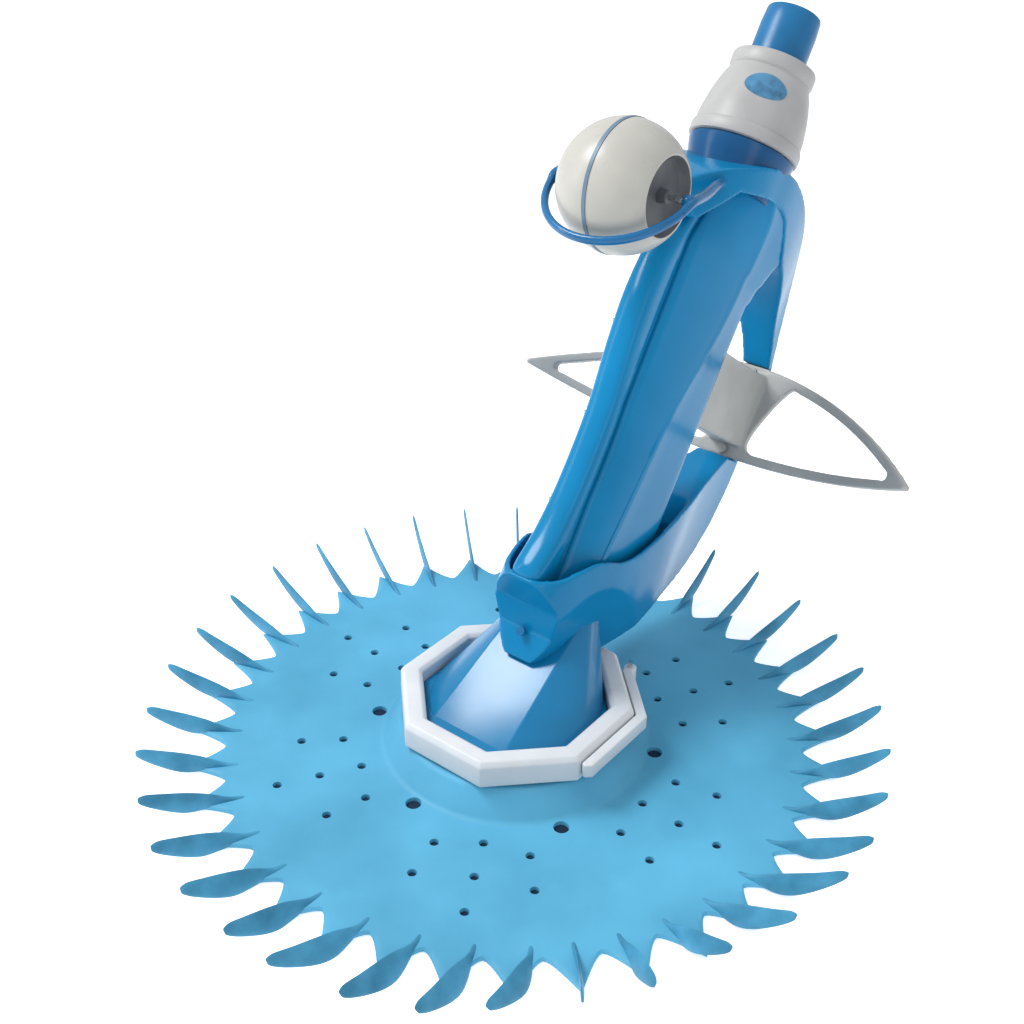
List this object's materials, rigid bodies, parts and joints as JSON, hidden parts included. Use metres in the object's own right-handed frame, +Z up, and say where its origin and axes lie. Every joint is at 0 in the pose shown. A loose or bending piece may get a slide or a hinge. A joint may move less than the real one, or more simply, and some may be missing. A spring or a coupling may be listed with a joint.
{
  "type": "pool cleaner",
  "caption": "Suction-side pool cleaner: finned flexible disc, octagonal foot, leaning body with rear bow, looped bumper, ball float in a hoop and swivelling hose spigot.",
  "frame": {"origin": "centre of the round suction inlet in the sole of the foot, on the pool floor plane Z = 0", "axes": "+Z up from the pool floor; the body leans and the hose leaves towards +Y; X = 0 is the mirror plane of the body"},
  "size_m": [0.4918, 0.5514, 0.4297],
  "materials": {
    "pad_rubber": "matt",
    "dark_blue_plastic": "gloss",
    "blue_plastic": "gloss",
    "inner_white_plastic": "satin",
    "white_plastic": "satin",
    "steel": "brushed",
    "disc_plastic": "satin, flexible",
    "seal_rubber": "matt",
    "weight_iron": "painted",
    "bumper_plastic": "satin",
    "hoop_plastic": "gloss",
    "float_plastic": "satin",
    "band_plastic": "satin",
    "nut_plastic": "satin",
    "badge_plastic": "gloss",
    "spigot_plastic": "gloss"
  },
  "bodies": {
    "frame": {"foot_pad": "pad_rubber", "foot_flange": "dark_blue_plastic", "foot_shell": "blue_plastic", "throat_insert": "inner_white_plastic", "retaining_ring": "white_plastic", "catch_pin": "steel", "body_left": "blue_plastic", "body_right": "blue_plastic", "body_screws": "steel", "flow_pipe": "inner_white_plastic", "diaphragm": "seal_rubber", "diaphragm_ring": "inner_white_plastic", "upper_bow": "blue_plastic", "lower_bow": "blue_plastic", "tongue_screw": "steel", "keel_weight": "weight_iron", "bumper": "bumper_plastic", "bumper_screws": "steel", "float_hoop": "hoop_plastic", "hoop_pins": "steel", "neck_ring": "dark_blue_plastic", "swivel_bearing": "inner_white_plastic", "swivel_seal": "seal_rubber"},
    "disc": {"disc": "disc_plastic", "disc_hub": "dark_blue_plastic"},
    "catch": {"ring_catch": "white_plastic"},
    "float": {"float_left": "float_plastic", "float_right": "float_plastic", "float_band": "band_plastic"},
    "hand_nut": {"hand_nut": "nut_plastic", "badge": "badge_plastic"},
    "spigot": {"spigot": "spigot_plastic"}
  },
  "joints": [
    {"name": "disc_spin", "type": "hinge", "parent": "frame", "child": "disc", "pos_m": [0, 0, 0.02], "axis": [0, 0, 1], "continuous": true},
    {"name": "catch_swing", "type": "hinge", "parent": "frame", "child": "catch", "pos_m": [0.04372, 0.06996, 0.0315], "axis": [0, 0, 1], "range_deg": [0, 60]},
    {"name": "float_turn", "type": "hinge", "parent": "frame", "child": "float", "pos_m": [0, 0.0964, 0.3514], "axis": [1, 0, 0], "continuous": true},
    {"name": "nut_turn", "type": "hinge", "parent": "frame", "child": "hand_nut", "pos_m": [0, 0.26522, 0.38561], "axis": [0, 0.5664, 0.8241], "range_deg": [0, 90]},
    {"name": "hose_swivel", "type": "hinge", "parent": "frame", "child": "spigot", "pos_m": [0, 0.26522, 0.38561], "axis": [0, 0.5664, 0.8241], "continuous": true}
  ]
}
